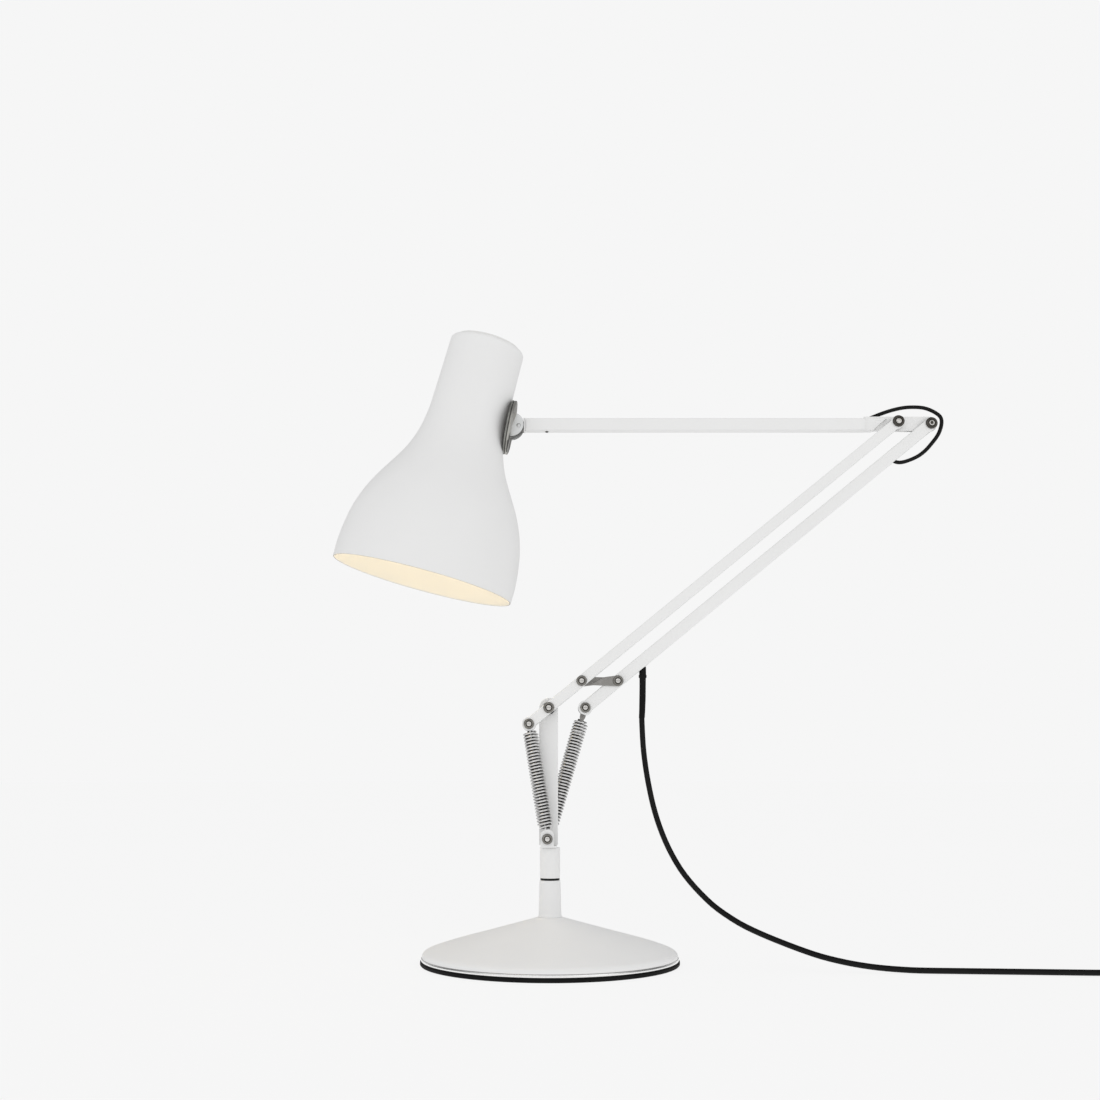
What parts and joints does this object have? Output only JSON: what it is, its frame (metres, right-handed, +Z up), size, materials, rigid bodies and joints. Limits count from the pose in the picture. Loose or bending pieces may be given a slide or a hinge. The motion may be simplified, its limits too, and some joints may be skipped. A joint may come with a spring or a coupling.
{
  "type": "balanced-arm desk lamp",
  "caption": "Spring-balanced desk lamp with a bell shade, square-tube upper arm, twin-bar lower arm, flat post and round conical base.",
  "frame": {"origin": "centre of the underside of the round base pad, on the table", "axes": "+Z up along the swivel axis, +X from the post towards the elbow, so the shade is at -X; -Y is the front"},
  "size_m": [0.6748, 0.256, 0.5109],
  "materials": {
    "white_paint": "satin powder coat",
    "white_plastic": "fine satin",
    "rubber": "matte",
    "steel": "brushed",
    "link_steel": "brushed, darkened",
    "dark_plate": "satin dark nickel",
    "dark_steel": "black nickel",
    "spring_chrome": "bright plated wire",
    "cast_iron": "sand cast",
    "black_cable": "smooth flexible sheath",
    "black_plastic": "fine moulded",
    "bulb_glass": "opal, lit"
  },
  "bodies": {
    "base": {"base_pad": "rubber", "base_trim_ring": "steel", "base_cover": "white_paint", "base_weight": "cast_iron", "spindle": "steel", "spindle_nut": "dark_steel", "base_collar": "white_paint", "swivel_washer": "black_plastic"},
    "column": {"stem_sleeve": "white_paint", "post": "white_paint", "spring_bracket": "white_paint", "anchor_pin": "dark_steel", "anchor_pin_nut": "dark_steel", "shoulder_bolt": "dark_steel", "shoulder_nut": "dark_steel", "shoulder_spacer": "black_plastic", "mains_lead": "black_cable", "lead_coil": "black_cable", "lead_tail": "black_cable", "coil_tie": "black_plastic", "mains_plug": "black_plastic"},
    "front_arm": {"front_bar": "white_paint", "front_spring_rivet": "dark_steel", "front_link_rivet": "dark_steel", "front_link_spacer": "black_plastic", "front_elbow_bolt": "dark_steel", "front_elbow_spacer": "black_plastic", "front_elbow_nut": "dark_steel"},
    "link": {"parallel_link": "link_steel"},
    "upper_arm": {"upper_arm_tube": "white_paint", "arm_tail_plate": "white_paint", "arm_end_plug": "white_plastic", "plug_grub_screw": "dark_steel", "upper_arm_cable": "black_cable", "elbow_cable": "black_cable"},
    "rear_arm": {"rear_bar": "white_paint", "rear_spring_bolt": "dark_steel", "rear_spring_nut": "dark_steel", "rear_link_rivet": "dark_steel", "rear_elbow_bolt": "dark_steel", "rear_elbow_nut": "dark_steel", "rear_bar_cable": "black_cable"},
    "cable_exit": {"strain_relief": "black_cable"},
    "knuckle": {"knuckle_bracket": "dark_plate", "swivel_stud": "steel", "knuckle_pin": "steel"},
    "shade_head": {"shade": "white_paint", "neck_plate": "dark_plate", "swivel_nut": "dark_steel", "shade_cap": "white_plastic", "lampholder": "white_plastic", "bulb": "bulb_glass"},
    "switch": {"switch_button": "black_plastic"},
    "front_spring_lower": {"front_spring_foot": "spring_chrome"},
    "front_spring_upper": {"front_spring": "spring_chrome"},
    "rear_spring_lower": {"rear_spring_foot": "spring_chrome"},
    "rear_spring_middle": {"rear_spring": "spring_chrome"},
    "rear_spring_upper": {"rear_spring_top_hook": "spring_chrome"},
    "front_spring_hook": {"front_spring_hanger": "spring_chrome"},
    "rear_spring_hook": {"rear_spring_hanger": "dark_steel"}
  },
  "joints": [
    {"name": "base_swivel", "type": "hinge", "parent": "base", "child": "column", "pos_m": [0, 0, 0.0642], "axis": [0, 0, 1], "range_deg": [-175, 175]},
    {"name": "lower_arm_tilt", "type": "hinge", "parent": "column", "child": "front_arm", "pos_m": [-0.001, 0, 0.1978], "axis": [0, 1, 0], "range_deg": [-30, 25], "deforming": ["mains_lead"]},
    {"name": "elbow_tilt", "type": "hinge", "parent": "front_arm", "child": "upper_arm", "pos_m": [0.28783, 0, 0.43303], "axis": [0, 1, 0], "range_deg": [-12, 35]},
    {"name": "rear_arm_pivot", "type": "hinge", "parent": "upper_arm", "child": "rear_arm", "pos_m": [0.31723, 0, 0.43343], "axis": [0, 1, 0], "range_deg": [-36, 13], "deforming": ["elbow_cable"]},
    {"name": "link_pivot", "type": "hinge", "parent": "front_arm", "child": "link", "pos_m": [0.02529, 0, 0.21921], "axis": [0, 1, 0], "range_deg": [-13, 36]},
    {"name": "cable_exit_follow", "type": "hinge", "parent": "front_arm", "child": "cable_exit", "pos_m": [0.04552, 0, 0.2286], "axis": [0, 1, 0], "range_deg": [-13, 36], "deforming": ["strain_relief"]},
    {"name": "head_tilt", "type": "hinge", "parent": "upper_arm", "child": "knuckle", "pos_m": [-0.0262, 0, 0.431], "axis": [0, 1, 0], "range_deg": [-75, 40]},
    {"name": "head_swivel", "type": "hinge", "parent": "knuckle", "child": "shade_head", "pos_m": [-0.03377, 0, 0.43088], "axis": [0.9816, 0, -0.1912], "range_deg": [-90, 90]},
    {"name": "switch_press", "type": "slide", "parent": "shade_head", "child": "switch", "axis": [-0.2524, 0, -0.9676], "range_m": [0, 0.0022], "stiffness_N_per_m": 300, "springref_m": -0.0004},
    {"name": "front_spring_turn", "type": "hinge", "parent": "column", "child": "front_spring_lower", "pos_m": [-0.0021, -0.00825, 0.0954], "axis": [0, 1, 0], "range_deg": [-8, 8]},
    {"name": "front_spring_stretch", "type": "slide", "parent": "front_spring_lower", "child": "front_spring_upper", "axis": [-0.1613, 0, 0.9869], "range_m": [-0.02, 0.02], "deforming": ["front_spring"]},
    {"name": "rear_spring_turn", "type": "hinge", "parent": "column", "child": "rear_spring_lower", "pos_m": [-0.0021, 0.00825, 0.0954], "axis": [0, 1, 0], "range_deg": [-8, 8]},
    {"name": "rear_spring_stretch_arm", "type": "slide", "parent": "rear_spring_lower", "child": "rear_spring_middle", "axis": [0.2844, 0, 0.9587], "range_m": [-0.03, 0.03], "deforming": ["rear_spring"]},
    {"name": "rear_spring_stretch_elbow", "type": "slide", "parent": "rear_spring_middle", "child": "rear_spring_upper", "axis": [0.2844, 0, 0.9587], "range_m": [-0.03, 0.03]},
    {"name": "front_spring_hook_turn", "type": "hinge", "parent": "front_arm", "child": "front_spring_hook", "pos_m": [-0.01674, -0.00825, 0.18498], "axis": [0, 1, 0], "range_deg": [-29, 35]},
    {"name": "rear_spring_hook_turn", "type": "hinge", "parent": "rear_arm", "child": "rear_spring_hook", "pos_m": [0.0284, 0.00825, 0.1982], "axis": [0, 1, 0], "range_deg": [-25, 29]}
  ],
  "couplings": [
    {"joint": "rear_arm_pivot", "follows": "elbow_tilt", "ratio": -1},
    {"joint": "link_pivot", "follows": "elbow_tilt", "ratio": 1},
    {"joint": "cable_exit_follow", "follows": "elbow_tilt", "ratio": 1},
    {"joint": "front_spring_turn", "follows": "lower_arm_tilt", "ratio": -0.114},
    {"joint": "front_spring_stretch", "follows": "lower_arm_tilt", "m_per_rad": 0.016},
    {"joint": "rear_spring_turn", "follows": "lower_arm_tilt", "ratio": 0.07},
    {"joint": "rear_spring_stretch_arm", "follows": "lower_arm_tilt", "m_per_rad": -0.025},
    {"joint": "rear_spring_stretch_elbow", "follows": "elbow_tilt", "m_per_rad": -0.0294},
    {"joint": "front_spring_hook_turn", "follows": "lower_arm_tilt", "ratio": -1.114},
    {"joint": "rear_spring_hook_turn", "follows": "lower_arm_tilt", "ratio": -0.93}
  ]
}
